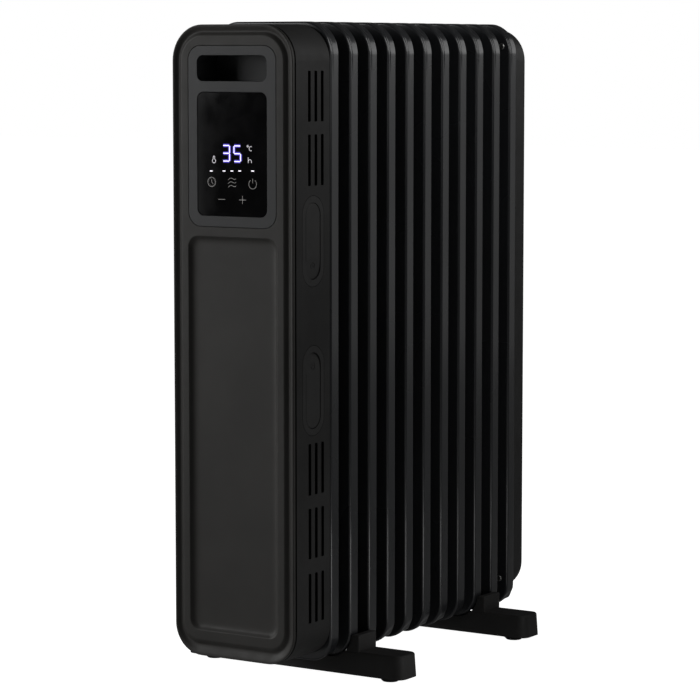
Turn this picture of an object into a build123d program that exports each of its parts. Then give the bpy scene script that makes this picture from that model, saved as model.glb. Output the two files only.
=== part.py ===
from build123d import *
import os

os.makedirs("parts", exist_ok=True)

# Oil filled radiator: control box at the front (-Y), eleven pressed fins, end cover at the back, two feet.
# X is the width, Y the length, Z is up. The origin is on the floor under the middle of the heater.

# Driving dimensions in millimetres
half_length = 222.25
half_width = 68.7
fin_top = 635.0
fin_bottom = 22.0
fin_count = 11
fin_pitch = 34.0
first_fin = -158.05
flange_depth = 13.6
sheet = 1.2
fold_radius = 2.2
low_flange_depth = 5.0
low_cut_half = 57.2
low_cut_top = 30.0
low_header = 72.0
high_header = 580.0
bulge_front = 5.0
bulge_rear = 7.0
box_bottom = 29.0
box_top = 632.0
parting = -216.5
box_rear = -159.75
wall = 2.7
panel_front = -half_length
shield_front = -167.5
shield_sheet = 1.2
boss_joint = -208.0
foot_pad_height = 5.0
foot_top = 28.1
foot_width = 35.5
foot_reach = 126.9
front_foot = -106.8
rear_foot = 134.8
pad_offset = 104.0
screw_radius = 1.75


def front_plane(y):
    """Sketch plane at this Y that faces the front; its own Y is Z."""
    return Plane.XZ.offset(-y)


def side_plane(x):
    """Sketch plane at this X that faces +X; its own X is Y and its own Y is Z."""
    return Plane.YZ.offset(x)


def shield(half, low, high, low_radius, high_radius):
    """Upright rectangle centred on X = 0, with one radius for its low corners and one for its high ones."""
    with BuildSketch() as outline:
        with Locations((0, (low + high) / 2)):
            Rectangle(2 * half, high - low)
        fillet(outline.vertices().group_by(Axis.Y)[-1], high_radius)
        fillet(outline.vertices().group_by(Axis.Y)[0], low_radius)
    return outline.sketch


def window(half, low, high, radius):
    """Upright rectangle centred on X = 0, with one radius all round."""
    return shield(half, low, high, radius, radius)


def save(part, label):
    """Name a finished piece and write it as one STEP file."""
    part.label = label
    export_step(part, f"parts/{label}.step")


# Outlines shared by several pieces
box_outline = shield(half_width, box_bottom, box_top, 30, 34)
box_inside = shield(half_width - wall, box_bottom + wall, box_top - wall, 30 - wall, 34 - wall)
lip_outline = shield(half_width - wall - 0.3, box_bottom + wall + 0.3, box_top - wall - 0.3, 27, 31)
frame_outline = shield(58.2, 44.5, 621.5, 17, 24)
groove_outline = shield(63.4, 39.0, 625.5, 22, 28)
bezel_seat = window(50.4, 441.8, 612.4, 14)
bezel_opening = window(46.2, 446.2, 608.2, 10)
fin_outline = shield(half_width, fin_bottom, fin_top, 24, 31)
fin_inside = shield(half_width - sheet, fin_bottom + sheet, fin_top - sheet, 24 - sheet, 31 - sheet)
case_bosses = [(side * x, z) for side in (-1, 1) for x, z in ((55.6, 42.1), (62.4, 359.0), (54.3, 617.6))]

# Front panel: rounded outer ring, groove, raised inner frame and a shallow dished lower field
with BuildPart() as front_panel:
    with BuildSketch(front_plane(parting)):
        add(box_outline)
    extrude(amount=parting - panel_front - 0.5)
    fillet(front_panel.faces().sort_by(Axis.Y)[0].edges(), 3.4)
    with BuildSketch(front_plane(parting - 1.2)):
        add(groove_outline)
    extrude(amount=10, mode=Mode.SUBTRACT)
    with BuildSketch(front_plane(parting - 1.2)):
        add(frame_outline)
    extrude(amount=parting - 1.2 - panel_front)
    fillet(front_panel.faces().sort_by(Axis.Y)[0].edges(), 2.6)
    with BuildSketch(front_plane(parting + 2.5)):
        add(lip_outline)
    extrude(amount=2.6)
    # lower field: a sloping margin down to a flat floor
    with BuildSketch(front_plane(panel_front)):
        add(window(51.4, 53.4, 433.3, 11))
    with BuildSketch(front_plane(panel_front + 3.0)):
        add(window(42.6, 63.0, 424.6, 7))
    loft(mode=Mode.SUBTRACT)
    with BuildSketch(front_plane(parting + 2.5)):
        add(window(38.0, 68.0, 418.0, 6))
    extrude(amount=2.6, mode=Mode.SUBTRACT)
    # seat of the bezel and the opening behind it
    with BuildSketch(front_plane(panel_front + 2.6)):
        add(bezel_seat)
    extrude(amount=5, mode=Mode.SUBTRACT)
    with BuildSketch(front_plane(parting + 5)):
        add(bezel_opening)
    extrude(amount=12, mode=Mode.SUBTRACT)
    # posts that the case screws hold
    with BuildSketch(front_plane(boss_joint)):
        with Locations(*case_bosses):
            Circle(3.3)
    extrude(amount=boss_joint - parting)
    with BuildSketch(front_plane(boss_joint)):
        with Locations(*case_bosses):
            Circle(screw_radius)
    extrude(amount=8.0, mode=Mode.SUBTRACT)
save(front_panel.part, "front_panel")

# Control housing: vented sleeve between the front panel and the first fin
vent_columns = (-194.2, -183.3, -172.4)
vent_rows = ((541.5, 588.9), (481.6, 529.6), (189.4, 238.5), (128.5, 176.8), (66.8, 114.5))
vent_width = 4.6
vent_corner = 1.2
hook_y = -188.1
hook_rows = {"upper": (429.55, 1), "lower": (288.6, -1)}
seat_size = (36.2, 85.2)
flap_size = (24.0, 71.4)
gland_place = (-34.0, -186.0)
seat_seam = 0.45

with BuildPart() as control_housing:
    with BuildSketch(front_plane(box_rear)):
        add(box_outline)
    extrude(amount=box_rear - parting)
    with BuildSketch(front_plane(box_rear)):
        add(box_inside)
    extrude(amount=box_rear - parting, mode=Mode.SUBTRACT)
    with BuildSketch(front_plane(shield_front)):
        with Locations(*case_bosses):
            Circle(4.0)
    extrude(amount=shield_front - boss_joint)
    with BuildSketch(front_plane(shield_front)):
        with Locations(*case_bosses):
            Circle(screw_radius + 0.2)
    extrude(amount=shield_front - boss_joint, mode=Mode.SUBTRACT)
    with BuildSketch(side_plane(0)):
        for y in vent_columns:
            for low, high in vent_rows:
                with Locations((y, (low + high) / 2)):
                    RectangleRounded(vent_width, high - low, vent_corner)
    extrude(amount=half_width + 1, both=True, mode=Mode.SUBTRACT)
    with BuildSketch(side_plane(half_width - wall - 1)):
        for z, _ in hook_rows.values():
            with Locations((hook_y, z)):
                SlotOverall(seat_size[1] + 2 * seat_seam, seat_size[0] + 2 * seat_seam, rotation=90)
    extrude(amount=wall + 2, mode=Mode.SUBTRACT)
    with BuildSketch(Plane.XY.offset(box_bottom - 1)):
        with Locations(gland_place):
            Circle(7.2)
    extrude(amount=wall + 2, mode=Mode.SUBTRACT)
save(control_housing.part, "control_housing")

# Fascia bezel around the display and the handle opening
with BuildPart() as fascia_bezel:
    with BuildSketch(front_plane(panel_front + 2.6)):
        add(window(50.1, 442.1, 612.1, 13.7))
        add(window(39.7, 452.3, 568.8, 7), mode=Mode.SUBTRACT)
        add(window(39.8, 579.0, 603.1, 6.5), mode=Mode.SUBTRACT)
    extrude(amount=2.6)
    fillet(fascia_bezel.faces().sort_by(Axis.Y)[0].edges(), 0.5)
save(fascia_bezel.part, "fascia_bezel")

# Carrying handle: a pocket for the fingers behind the bezel
handle_floor = panel_front + 32.0
with BuildPart() as handle_cup:
    with BuildSketch(front_plane(panel_front + 4.4)):
        add(window(45.8, 574.6, 607.8, 10))
    extrude(amount=1.8)
    with BuildSketch(front_plane(handle_floor + 2.0)):
        add(window(41.8, 577.0, 605.1, 8.5))
    extrude(amount=handle_floor + 2.0 - panel_front - 2.6)
    with BuildSketch(front_plane(handle_floor)):
        add(window(39.8, 579.0, 603.1, 6.5))
    extrude(amount=handle_floor - panel_front, mode=Mode.SUBTRACT)
save(handle_cup.part, "handle_cup")

# Touch display: glass, gasket, carrier, board, digits and touch springs
with BuildPart() as display_glass:
    with BuildSketch(front_plane(panel_front + 2.15)):
        add(window(39.4, 452.6, 568.5, 6.7))
    extrude(amount=2.0)
    chamfer(display_glass.faces().sort_by(Axis.Y)[0].edges(), 0.3)
save(display_glass.part, "display_glass")

with BuildPart() as glass_gasket:
    with BuildSketch(front_plane(panel_front + 2.6)):
        add(window(39.2, 452.8, 568.3, 6.5))
        add(window(36.6, 455.4, 565.7, 4), mode=Mode.SUBTRACT)
    extrude(amount=0.45)
save(glass_gasket.part, "glass_gasket")

with BuildPart() as display_carrier:
    with BuildSketch(front_plane(panel_front + 10.6)):
        add(window(45.8, 446.6, 573.6, 10))
    extrude(amount=8.0)
    with BuildSketch(front_plane(panel_front + 10.6)):
        add(window(40.0, 451.0, 570.0, 3))
    extrude(amount=6.4, mode=Mode.SUBTRACT)
    with BuildSketch(front_plane(panel_front + 10.6)):
        add(window(36.6, 455.4, 565.7, 4))
    extrude(amount=8.0, mode=Mode.SUBTRACT)
save(display_carrier.part, "display_carrier")

board_face = panel_front + 5.8
with BuildPart() as display_board:
    with BuildSketch(front_plane(board_face + 1.6)):
        add(window(39.4, 451.6, 569.4, 2))
    extrude(amount=1.6)
save(display_board.part, "display_board")

with BuildPart() as digit_module:
    with BuildSketch(front_plane(board_face)):
        with Locations((2.0, 509.0)):
            Rectangle(46.0, 32.0)
    extrude(amount=3.4)
save(digit_module.part, "digit_module")

key_places = [(-23.0, 483.0), (0.5, 483.0), (24.0, 483.0), (-11.5, 466.0), (12.0, 466.0)]
with BuildPart() as touch_springs:
    with BuildSketch(front_plane(board_face)):
        with Locations(*key_places):
            Circle(3.2)
            Circle(2.2, mode=Mode.SUBTRACT)
    extrude(amount=3.4)
save(touch_springs.part, "touch_springs")

# Power board on four stand-offs behind it, with relays, supply and terminals in front
power_face = -184.0
with BuildPart() as power_board:
    with BuildSketch(front_plane(power_face + 1.6)):
        add(window(42.0, 98.0, 230.0, 2))
    extrude(amount=1.6)
save(power_board.part, "power_board")

with BuildPart() as board_standoffs:
    with BuildSketch(front_plane(shield_front)):
        with Locations((0, 164.0)):
            with GridLocations(74.0, 122.0, 2, 2):
                Circle(3.0)
    extrude(amount=shield_front - power_face - 1.6)
save(board_standoffs.part, "board_standoffs")

with BuildPart() as power_relays:
    with BuildSketch(front_plane(power_face)):
        with Locations((-22.0, 205.0), (6.0, 205.0)):
            Rectangle(20.0, 28.0)
    extrude(amount=15.5)
    fillet(power_relays.faces().group_by(Axis.Y)[0].edges(), 0.8)
save(power_relays.part, "power_relays")

with BuildPart() as supply_module:
    with BuildSketch(front_plane(power_face)):
        with Locations((-20.0, 158.0)):
            Rectangle(34.0, 22.0)
        with Locations((14.0, 158.0)):
            Circle(7.0)
    extrude(amount=14.0)
save(supply_module.part, "supply_module")

with BuildPart() as terminal_block:
    with BuildSketch(front_plane(power_face)):
        with Locations((0, 114.0)):
            Rectangle(52.0, 14.0)
    extrude(amount=13.0)
    with BuildSketch(front_plane(power_face - 13.0)):
        with Locations((0, 114.0)):
            with GridLocations(12.5, 1, 4, 1):
                Circle(3.0)
    extrude(amount=-6.0, mode=Mode.SUBTRACT)
save(terminal_block.part, "terminal_block")

# Tip-over switch: a pendulum on a pin in an open frame, under a small switch block
pendulum_pivot = (-14.0, 322.0)
pendulum_front = -190.0
with BuildPart() as tip_switch_frame:
    with BuildSketch(front_plane(shield_front)):
        with Locations((pendulum_pivot[0], 299.5)):
            Rectangle(52.0, 69.0)
    extrude(amount=2.0)
    with BuildSketch(front_plane(shield_front)):
        with Locations((pendulum_pivot[0], 331.0)):
            Rectangle(52.0, 6.0)
        with Locations((pendulum_pivot[0] - 25.0, 299.5), (pendulum_pivot[0] + 25.0, 299.5)):
            Rectangle(2.0, 69.0)
    extrude(amount=27.0)
    # ears that carry the pin
    with BuildSketch(front_plane(pendulum_front + 9.0)):
        with Locations((pendulum_pivot[0], 323.0)):
            Rectangle(9.0, 12.0)
    extrude(amount=2.0)
    with BuildSketch(front_plane(pendulum_front - 2.5)):
        with Locations((pendulum_pivot[0], 323.0)):
            Rectangle(9.0, 12.0)
    extrude(amount=2.0)
    with BuildSketch(front_plane(pendulum_front + 12.0)):
        with Locations(pendulum_pivot):
            Circle(1.5)
    extrude(amount=20.0, mode=Mode.SUBTRACT)
save(tip_switch_frame.part, "tip_switch_frame")

with BuildPart() as tip_pin:
    with BuildSketch(front_plane(pendulum_front + 9.0)):
        with Locations(pendulum_pivot):
            Circle(1.5)
    extrude(amount=13.5)
save(tip_pin.part, "tip_pin")

with BuildPart() as tip_pendulum:
    with BuildSketch(front_plane(pendulum_front + 5.0)):
        with Locations((pendulum_pivot[0], 306.0)):
            Rectangle(5.0, 32.0)
        with Locations(pendulum_pivot):
            Circle(4.0)
    extrude(amount=5.0)
    with BuildSketch(front_plane(pendulum_front + 9.0)):
        with Locations((pendulum_pivot[0], 284.0)):
            Circle(9.5)
    extrude(amount=13.0)
    with BuildSketch(front_plane(pendulum_front + 12.0)):
        with Locations(pendulum_pivot):
            Circle(1.56)
    extrude(amount=20.0, mode=Mode.SUBTRACT)
save(tip_pendulum.part, "tip_pendulum")

# Steel shield that closes the back of the control box, with holes for the heater hub and the cut-out
cutout_height = 180.0
earth_place = (-44.0, 84.0)
with BuildPart() as heat_shield:
    with BuildSketch(front_plane(shield_front + shield_sheet)):
        add(lip_outline)
        with Locations((0, low_header)):
            Circle(24.5, mode=Mode.SUBTRACT)
        with Locations((0, high_header)):
            Circle(24.5, mode=Mode.SUBTRACT)
        with Locations((0, cutout_height)):
            Circle(10.2, mode=Mode.SUBTRACT)
        with Locations(*case_bosses):
            Circle(screw_radius + 0.2, mode=Mode.SUBTRACT)
        with Locations(earth_place):
            Circle(2.0, mode=Mode.SUBTRACT)
    extrude(amount=shield_sheet)
save(heat_shield.part, "heat_shield")

with BuildPart() as case_screws:
    with BuildSketch(front_plane(shield_front + shield_sheet)):
        with Locations(*case_bosses):
            Circle(screw_radius)
    extrude(amount=47.0)
    with BuildSketch(front_plane(shield_front + shield_sheet + 2.2)):
        with Locations(*case_bosses):
            Circle(3.4)
    extrude(amount=2.2)
save(case_screws.part, "case_screws")

with BuildPart() as earth_stud:
    with BuildSketch(front_plane(shield_front + shield_sheet + 1.5)):
        with Locations(earth_place):
            Circle(3.6)
    extrude(amount=1.5)
    with BuildSketch(front_plane(shield_front + shield_sheet)):
        with Locations(earth_place):
            Circle(2.0)
    extrude(amount=14.0)
    with BuildSketch(front_plane(shield_front)):
        with Locations(earth_place):
            RegularPolygon(3.8, 6)
    extrude(amount=3.0)
save(earth_stud.part, "earth_stud")

with BuildPart() as air_sensor:
    with BuildSketch(Plane.XY.offset(box_bottom + wall)):
        with Locations((28.0, -186.0)):
            Rectangle(10.0, 7.0)
    extrude(amount=9.0)
    with BuildSketch(Plane.XY.offset(box_bottom + wall + 9.0)):
        with Locations((28.0, -186.0)):
            Circle(2.4)
    extrude(amount=8.0)
save(air_sensor.part, "air_sensor")

# Gland where the mains lead enters, through the floor of the housing
with BuildPart() as cord_gland:
    with BuildSketch(Plane.XY.offset(box_bottom - 4.0)):
        with Locations(gland_place):
            Circle(9.5)
    extrude(amount=4.0)
    with BuildSketch(Plane.XY.offset(box_bottom)):
        with Locations(gland_place):
            Circle(7.0)
    extrude(amount=10.0)
    fillet(cord_gland.faces().sort_by(Axis.Z)[0].edges(), 1.2)
    with BuildSketch(Plane.XY.offset(box_bottom - 5.0)):
        with Locations(gland_place):
            Circle(3.8)
    extrude(amount=20.0, mode=Mode.SUBTRACT)
save(cord_gland.part, "cord_gland")

# Cord wrap: two flip-out hooks in racetrack seats on the +X side.
# The end with the round press mark is pushed in, and the other end swings out about a pin along Y.
pivot_x = 64.5
pivot_from_end = 22.0
pocket_floor = 41.0
seat_gap = 0.6
pin_radius = 1.5
flap_sink = 0.2
press_sink = 1.5
mark_from_end = 12.05
mark_depth = 0.4


def hook_pivot_height(centre, up):
    """Height of a hook's pin: near the press end, which is the low end of the upper hook."""
    return centre - up * (flap_size[1] / 2 - pivot_from_end)


for name, (centre, up) in hook_rows.items():
    pivot_z = hook_pivot_height(centre, up)
    tip_z = centre + up * flap_size[1] / 2
    press_z = centre - up * flap_size[1] / 2
    with BuildPart() as hook_seat:
        with BuildSketch(side_plane(half_width - wall)):
            with Locations((hook_y, centre)):
                SlotOverall(seat_size[1], seat_size[0], rotation=90)
        extrude(amount=wall)
        with BuildSketch(side_plane(half_width - wall)):
            with Locations((hook_y, centre)):
                SlotOverall(seat_size[1] + 5.0, seat_size[0] + 5.0, rotation=90)
        extrude(amount=-1.6)
        with BuildSketch(side_plane(half_width - wall)):
            with Locations((hook_y, centre)):
                SlotOverall(flap_size[1] + 5.0, flap_size[0] + 5.0, rotation=90)
        extrude(amount=-(half_width - wall - pocket_floor + 2.0))
        with BuildSketch(side_plane(pocket_floor)):
            with Locations((hook_y, centre)):
                SlotOverall(flap_size[1] + 2 * seat_gap, flap_size[0] + 2 * seat_gap, rotation=90)
        extrude(amount=40.0, mode=Mode.SUBTRACT)
        with BuildSketch(front_plane(hook_y + 14.5)):
            with Locations((pivot_x, pivot_z)):
                Circle(pin_radius)
        extrude(amount=29.0, mode=Mode.SUBTRACT)
    save(hook_seat.part, f"hook_seat_{name}")

    with BuildPart() as hook:
        with BuildSketch(side_plane(half_width - flap_sink)):
            with Locations((hook_y, centre)):
                SlotOverall(flap_size[1], flap_size[0], rotation=90)
        extrude(amount=-4.6)
        fillet(hook.faces().sort_by(Axis.X)[-1].edges(), 0.6)
        # barrel around the pin
        with BuildSketch(front_plane(hook_y + 11.0)):
            with Locations((pivot_x, pivot_z)):
                Circle(3.8)
        extrude(amount=22.0)
        # lip that keeps the cord on the hook
        with BuildSketch(front_plane(hook_y + 8.0)):
            with BuildLine():
                Polyline(
                    (66.0, tip_z - up * 3.0),
                    (66.0, tip_z - up * 9.0),
                    (55.0, tip_z - up * 7.0),
                    (55.0, tip_z - up * 4.0),
                    close=True,
                )
            make_face()
        extrude(amount=16.0)
        # finger slope at the press end
        with BuildSketch(front_plane(hook_y + 13.0)):
            with BuildLine():
                Polyline(
                    (half_width + 1.0, press_z - up),
                    (half_width + 1.0, press_z + up * 24.0),
                    (half_width - flap_sink, press_z + up * 20.0),
                    (half_width - press_sink, press_z - up),
                    close=True,
                )
            make_face()
        extrude(amount=26.0, mode=Mode.SUBTRACT)
        # round press mark engraved near the press end
        with BuildSketch(side_plane(half_width - (flap_sink + press_sink) / 2 - mark_depth + 0.2)):
            with Locations((hook_y, press_z + up * mark_from_end)):
                Circle(3.7)
                Circle(3.0, mode=Mode.SUBTRACT)
                Circle(1.2)
        extrude(amount=4.0, mode=Mode.SUBTRACT)
        with BuildSketch(front_plane(hook_y + 13.0)):
            with Locations((pivot_x, pivot_z)):
                Circle(pin_radius + 0.06)
        extrude(amount=26.0, mode=Mode.SUBTRACT)
    save(hook.part, f"hook_{name}")

with BuildPart() as hook_pins:
    with BuildSketch(front_plane(hook_y + 14.4)):
        with Locations(*[(pivot_x, hook_pivot_height(centre, up)) for centre, up in hook_rows.values()]):
            Circle(pin_radius)
    extrude(amount=28.8)
save(hook_pins.part, "hook_pins")

# Fins: a pressed sheet with a folded flange all round and raised oil channels on both faces
channel_places = (-36.0, 0.0, 36.0)


def channel_outline(inset):
    """Two headers joined by three upright channels, drawn in by the inset."""
    with BuildSketch() as outline:
        for z in (low_header, high_header):
            with Locations((0, z)):
                SlotOverall(112.0 - 2 * inset, 50.0 - 2 * inset)
        with Locations(*[(x, (low_header + high_header) / 2) for x in channel_places]):
            Rectangle(20.0 - 2 * inset, high_header - low_header)
    return outline.sketch


channels = channel_outline(0)
oil_space = channel_outline(sheet)
bulge_face = first_fin - bulge_front
bulge_back = first_fin + sheet + bulge_rear
rivet_places = [(side * 59.0, z) for side in (-1, 1) for z in (612.0, 52.0)]

with BuildPart() as fin:
    with BuildSketch(front_plane(first_fin)):
        add(fin_outline)
    extrude(amount=-flange_depth)
    fillet(fin.faces().sort_by(Axis.Y)[0].edges(), fold_radius)
    with BuildSketch(front_plane(first_fin + sheet)):
        add(fin_inside)
    extrude(amount=-flange_depth, mode=Mode.SUBTRACT)
    # the folded flange stops part of the way round the low corners, and only a narrow lip runs along the bottom
    with BuildSketch(front_plane(first_fin + low_flange_depth)):
        with Locations((0, (fin_bottom + low_cut_top) / 2 - 1)):
            Rectangle(2 * low_cut_half, low_cut_top - fin_bottom + 2)
    extrude(amount=-flange_depth, mode=Mode.SUBTRACT)
    with BuildSketch(front_plane(bulge_back)):
        add(channels)
    extrude(amount=bulge_back - bulge_face)
    chamfer(fin.faces().sort_by(Axis.Y)[0].edges(), 2.5)
    with BuildSketch(front_plane(bulge_back - sheet)):
        add(oil_space)
    extrude(amount=bulge_back - bulge_face - 2 * sheet - 1.4, mode=Mode.SUBTRACT)
    with BuildSketch(front_plane(bulge_back + 1)):
        with Locations((0, low_header), (0, high_header)):
            Circle(18.0)
    extrude(amount=bulge_back - bulge_face + 2, mode=Mode.SUBTRACT)

with BuildPart() as last_fin:
    add(fin.part)
    with BuildSketch(front_plane(first_fin + 3.0)):
        with Locations(*rivet_places):
            Circle(1.9)
    extrude(amount=6.0, mode=Mode.SUBTRACT)

for index in range(fin_count):
    source = fin.part if index < fin_count - 1 else last_fin.part
    save(source.moved(Location((0, index * fin_pitch, 0))), f"fin_{index + 1:02d}")

# Collars that join the oil spaces of neighbouring fins
collar_length = fin_pitch - (bulge_back - bulge_face)
for name, height in (("lower", low_header), ("upper", high_header)):
    with BuildPart() as collars:
        for index in range(fin_count - 1):
            with BuildSketch(front_plane(bulge_back + index * fin_pitch)):
                with Locations((0, height)):
                    Circle(22.0)
                    Circle(18.0, mode=Mode.SUBTRACT)
            extrude(amount=-collar_length)
    save(collars.part, f"{name}_collars")

last_back = bulge_back + (fin_count - 1) * fin_pitch
with BuildPart() as header_plugs:
    with BuildSketch(front_plane(bulge_face)):
        with Locations((0, high_header)):
            Circle(21.0)
    extrude(amount=2.0)
    with BuildSketch(front_plane(last_back + 2.0)):
        with Locations((0, low_header), (0, high_header)):
            Circle(21.0)
    extrude(amount=2.0)
save(header_plugs.part, "header_plugs")

with BuildPart() as filler_plug:
    with BuildSketch(front_plane(last_back + 2.0)):
        with Locations((0, high_header)):
            Circle(5.0)
    extrude(amount=-5.0)
    with BuildSketch(front_plane(last_back + 7.0)):
        with Locations((0, high_header)):
            RegularPolygon(7.0, 6)
    extrude(amount=-4.0)
save(filler_plug.part, "filler_plug")

# Heater: hub on the first fin and a hairpin tube that runs through the lower oil space
tube_radius = 4.0
tube_spread = 10.0
tube_end = 150.0
hub_front = bulge_face - 11.0
element_front = hub_front - 6.0
with BuildPart() as heater_hub:
    with BuildSketch(front_plane(bulge_face)):
        with Locations((0, low_header)):
            Circle(23.0)
    extrude(amount=3.0)
    with BuildSketch(front_plane(bulge_face - 3.0)):
        with Locations((0, low_header)):
            RegularPolygon(20.0, 6)
    extrude(amount=8.0)
    with BuildSketch(front_plane(bulge_face + 1)):
        with Locations((-tube_spread, low_header), (tube_spread, low_header)):
            Circle(tube_radius + 0.1)
    extrude(amount=14.0, mode=Mode.SUBTRACT)
save(heater_hub.part, "heater_hub")

with BuildPart() as heating_element:
    with BuildLine() as hairpin:
        Line((-tube_spread, element_front, low_header), (-tube_spread, tube_end, low_header))
        ThreePointArc(
            (-tube_spread, tube_end, low_header),
            (0, tube_end + tube_spread, low_header),
            (tube_spread, tube_end, low_header),
        )
        Line((tube_spread, tube_end, low_header), (tube_spread, element_front, low_header))
    with BuildSketch(front_plane(element_front)):
        with Locations((-tube_spread, low_header)):
            Circle(tube_radius)
    sweep(path=hairpin.wire())
save(heating_element.part, "heating_element")

with BuildPart() as element_terminals:
    with BuildSketch(front_plane(element_front)):
        with Locations((-tube_spread, low_header), (tube_spread, low_header)):
            Circle(5.2)
    extrude(amount=5.0)
    with BuildSketch(front_plane(element_front - 5.0)):
        with Locations((-tube_spread, low_header), (tube_spread, low_header)):
            Rectangle(0.8, 6.3)
    extrude(amount=10.0)
save(element_terminals.part, "element_terminals")

with BuildPart() as thermal_cutout:
    with BuildSketch(front_plane(bulge_face)):
        with Locations((0, cutout_height)):
            Circle(8.6)
    extrude(amount=9.0)
    with BuildSketch(front_plane(bulge_face - 9.0)):
        with Locations((-4.0, cutout_height), (4.0, cutout_height)):
            Rectangle(0.8, 6.3)
    extrude(amount=6.0)
save(thermal_cutout.part, "thermal_cutout")

# End cover on two brackets behind the last fin
cover_front = 197.5
cover_wall = 2.2
bracket_heights = (160.0, 500.0)
bracket_sheet = 1.5
screw_x = 40.0
with BuildPart() as end_cover:
    with BuildSketch(front_plane(cover_front)):
        add(shield(67.0, 36.0, 630.0, 30, 33))
    extrude(amount=cover_front - half_length)
    fillet(end_cover.faces().sort_by(Axis.Y)[-1].edges(), 8.0)
    offset(amount=-cover_wall, openings=end_cover.faces().sort_by(Axis.Y)[0])
    with BuildSketch(front_plane(half_length)):
        with Locations(*[(side * screw_x, z) for side in (-1, 1) for z in bracket_heights]):
            Circle(2.1)
    extrude(amount=6.0, mode=Mode.SUBTRACT)
    with BuildSketch(front_plane(half_length)):
        with Locations(*[(side * screw_x, z) for side in (-1, 1) for z in bracket_heights]):
            Circle(4.2)
    extrude(amount=1.0, mode=Mode.SUBTRACT)
save(end_cover.part, "end_cover")

tab_back = half_length - cover_wall
with BuildPart() as cover_brackets:
    for z in bracket_heights:
        with BuildSketch(Plane.XY.offset(z - 9.0)):
            with BuildLine():
                Polyline(
                    (-46.0, tab_back),
                    (-34.0, tab_back),
                    (-34.0, last_back + bracket_sheet),
                    (34.0, last_back + bracket_sheet),
                    (34.0, tab_back),
                    (46.0, tab_back),
                    (46.0, tab_back - bracket_sheet),
                    (34.0 + bracket_sheet, tab_back - bracket_sheet),
                    (34.0 + bracket_sheet, last_back),
                    (-34.0 - bracket_sheet, last_back),
                    (-34.0 - bracket_sheet, tab_back - bracket_sheet),
                    (-46.0, tab_back - bracket_sheet),
                    close=True,
                )
            make_face()
        extrude(amount=18.0)
    with BuildSketch(front_plane(half_length)):
        with Locations(*[(side * screw_x, z) for side in (-1, 1) for z in bracket_heights]):
            Circle(screw_radius)
    extrude(amount=8.0, mode=Mode.SUBTRACT)
save(cover_brackets.part, "cover_brackets")

with BuildPart() as cover_screws:
    with BuildSketch(front_plane(half_length)):
        with Locations(*[(side * screw_x, z) for side in (-1, 1) for z in bracket_heights]):
            Circle(3.8)
    extrude(amount=1.0)
    with BuildSketch(front_plane(half_length)):
        with Locations(*[(side * screw_x, z) for side in (-1, 1) for z in bracket_heights]):
            Circle(screw_radius)
    extrude(amount=9.0)
    with BuildSketch(front_plane(half_length)):
        with Locations(*[(side * screw_x, z) for side in (-1, 1) for z in bracket_heights]):
            Rectangle(4.4, 0.9)
            Rectangle(0.9, 4.4)
    extrude(amount=0.7, mode=Mode.SUBTRACT)
save(cover_screws.part, "cover_screws")

last_fin_front = first_fin + (fin_count - 1) * fin_pitch
with BuildPart() as cover_rivets:
    with BuildSketch(front_plane(last_fin_front + sheet)):
        with Locations(*rivet_places):
            Circle(1.9)
    extrude(amount=sheet)
    with BuildSketch(front_plane(last_fin_front)):
        with Locations(*rivet_places):
            Circle(3.2)
    extrude(amount=1.4)
    fillet(cover_rivets.faces().group_by(Axis.Y)[0].edges(), 1.0)
save(cover_rivets.part, "cover_rivets")

# Feet: a hollow cross bar with end cheeks outside the fins and a saddle that reaches up between two fins
foot_wall = 3.0
cheek_height = 44.0
cheek_out = 78.0
cheek_in = 69.9
pocket_top = 20.5
saddle_top = 46.0
saddle_half = 40.0
saddle_width = 18.2
rib_pitch = 44.0
rib_count = 5
bolt_x = 25.0
bolt_radius = 2.5

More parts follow.
